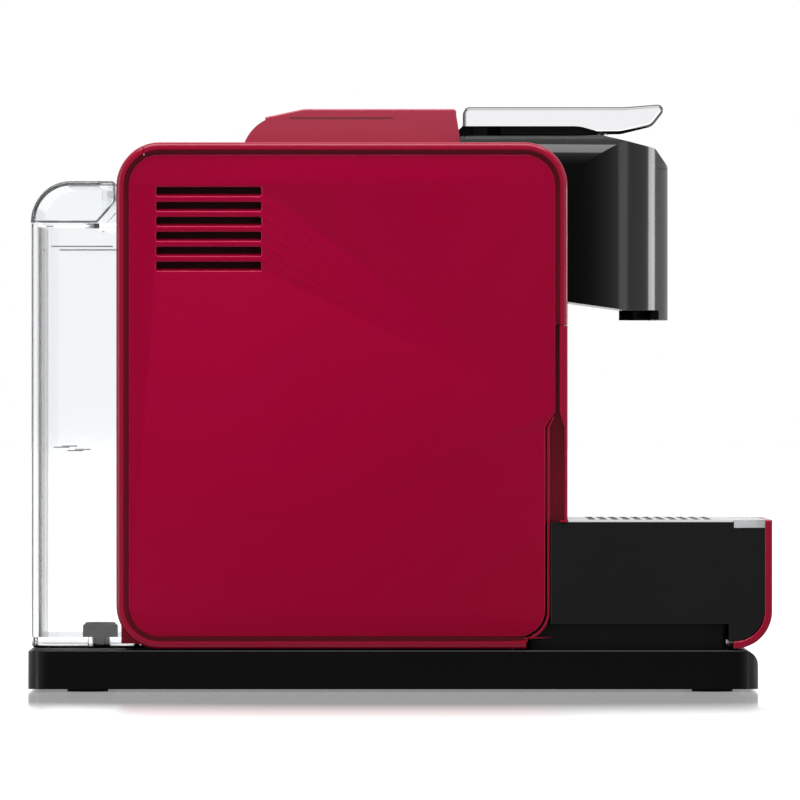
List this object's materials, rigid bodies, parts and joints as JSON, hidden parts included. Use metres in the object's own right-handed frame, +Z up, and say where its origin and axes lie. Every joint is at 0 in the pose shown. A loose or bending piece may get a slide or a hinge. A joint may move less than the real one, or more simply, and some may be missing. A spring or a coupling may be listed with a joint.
{
  "type": "pod coffee machine",
  "caption": "Compact pod coffee machine with a red body, black head, metal lifting lever, clear water tank and a pull-out drip drawer",
  "frame": {"origin": "centre of the bounding box, at floor height", "axes": "+X towards the cup side, +Z up, +Y towards the left side"},
  "size_m": [0.3264, 0.173, 0.2587],
  "materials": {
    "base_bottom_cover": "matte black",
    "base_plate": "satin black",
    "base_screws": "bright",
    "brew_frame": "matte black",
    "brew_pipe": "bright",
    "cage_seal": "soft",
    "capsule_bin": "matte black",
    "capsule_cage": "matte black",
    "capsule_chute": "matte black",
    "chassis": "matte black",
    "coffee_spout": "gloss black",
    "cord_gland": "soft",
    "crank_pins": "bright",
    "drawer_fascia": "deep gloss red",
    "drawer_front": "deep gloss red",
    "drawer_lip": "clear plastic",
    "drawer_tray": "matte black",
    "drip_base": "matte black",
    "drip_grid": "brushed",
    "flow_meter": "matte black",
    "front_plate": "gloss black",
    "head_shell": "gloss black",
    "heater_pipe": "bright",
    "injection_block": "matte black",
    "lever_body": "matte black",
    "lever_pivot_pin": "bright",
    "lever_skin": "polished",
    "lid_hinge_pins": "bright",
    "port_door": "gloss black",
    "power_board": "board",
    "power_rocker": "matte black",
    "pressure_pipe": "bright",
    "pump": "satin",
    "pump_dampers": "soft",
    "pump_hose": "soft",
    "rear_shell": "deep gloss red",
    "rubber_feet": "soft",
    "side_panel_left": "deep gloss red",
    "side_panel_right": "deep gloss red",
    "solenoid_valve": "satin",
    "spout_funnel": "matte black",
    "steam_pipe": "bright",
    "steam_port": "matte black",
    "switch_frame": "matte black",
    "tank_coupling": "matte black",
    "tank_hose": "soft",
    "tank_lid": "clear plastic",
    "tank_valve": "matte black",
    "thermoblock": "cast",
    "thermostats": "satin",
    "top_shell": "deep gloss red",
    "top_spine": "deep gloss red",
    "top_spine_cap": "deep gloss red",
    "valve_spring": "bright",
    "vent_screens": "felt",
    "water_tank": "clear plastic"
  },
  "bodies": {
    "body": {"base_bottom_cover": "base_bottom_cover", "base_plate": "base_plate", "base_screws": "base_screws", "brew_frame": "brew_frame", "brew_pipe": "brew_pipe", "capsule_chute": "capsule_chute", "chassis": "chassis", "coffee_spout": "coffee_spout", "cord_gland": "cord_gland", "drip_base": "drip_base", "flow_meter": "flow_meter", "front_plate": "front_plate", "head_shell": "head_shell", "heater_pipe": "heater_pipe", "injection_block": "injection_block", "lever_pivot_pin": "lever_pivot_pin", "power_board": "power_board", "pressure_pipe": "pressure_pipe", "pump": "pump", "pump_dampers": "pump_dampers", "pump_hose": "pump_hose", "rear_shell": "rear_shell", "rubber_feet": "rubber_feet", "side_panel_left": "side_panel_left", "side_panel_right": "side_panel_right", "solenoid_valve": "solenoid_valve", "spout_funnel": "spout_funnel", "steam_pipe": "steam_pipe", "steam_port": "steam_port", "switch_frame": "switch_frame", "tank_coupling": "tank_coupling", "tank_hose": "tank_hose", "thermoblock": "thermoblock", "thermostats": "thermostats", "top_shell": "top_shell", "top_spine": "top_spine", "top_spine_cap": "top_spine_cap", "vent_screens": "vent_screens"},
    "lever": {"lever_skin": "lever_skin", "lever_body": "lever_body", "crank_pins": "crank_pins"},
    "cage": {"capsule_cage": "capsule_cage", "cage_seal": "cage_seal"},
    "drawer": {"drawer_tray": "drawer_tray", "drawer_front": "drawer_front", "drawer_lip": "drawer_lip", "drawer_fascia": "drawer_fascia", "capsule_bin": "capsule_bin"},
    "grid": {"drip_grid": "drip_grid"},
    "tank": {"water_tank": "water_tank", "tank_valve": "tank_valve", "valve_spring": "valve_spring"},
    "lid": {"tank_lid": "tank_lid", "lid_hinge_pins": "lid_hinge_pins"},
    "port_door": {"port_door": "port_door"},
    "rocker": {"power_rocker": "power_rocker"}
  },
  "joints": [
    {"name": "lever_hinge", "type": "hinge", "parent": "body", "child": "lever", "pos_m": [0.0355, 0, 0.251], "axis": [0, -1, 0], "range_deg": [0, 90]},
    {"name": "cage_slide", "type": "slide", "parent": "body", "child": "cage", "axis": [1, 0, 0], "range_m": [0, 0.034]},
    {"name": "drawer_slide", "type": "slide", "parent": "body", "child": "drawer", "axis": [1, 0, 0], "range_m": [0, 0.12]},
    {"name": "grid_lift", "type": "slide", "parent": "drawer", "child": "grid", "axis": [0, 0, 1], "range_m": [0, 0.075]},
    {"name": "tank_lift", "type": "slide", "parent": "body", "child": "tank", "axis": [0, 0, 1], "range_m": [0, 0.25]},
    {"name": "lid_hinge", "type": "hinge", "parent": "tank", "child": "lid", "pos_m": [-0.1277, 0, 0.2186], "axis": [0, 1, 0], "range_deg": [0, 90]},
    {"name": "door_slide", "type": "slide", "parent": "body", "child": "port_door", "axis": [0, 0, 1], "range_m": [0, 0.0155]},
    {"name": "rocker_hinge", "type": "hinge", "parent": "body", "child": "rocker", "pos_m": [-0.0894, 0.0836, 0.046], "axis": [0, 0, 1], "range_deg": [0, 8]}
  ],
  "couplings": [
    {"joint": "cage_slide", "follows": "lever_hinge", "m_per_rad": 0.021607}
  ]
}
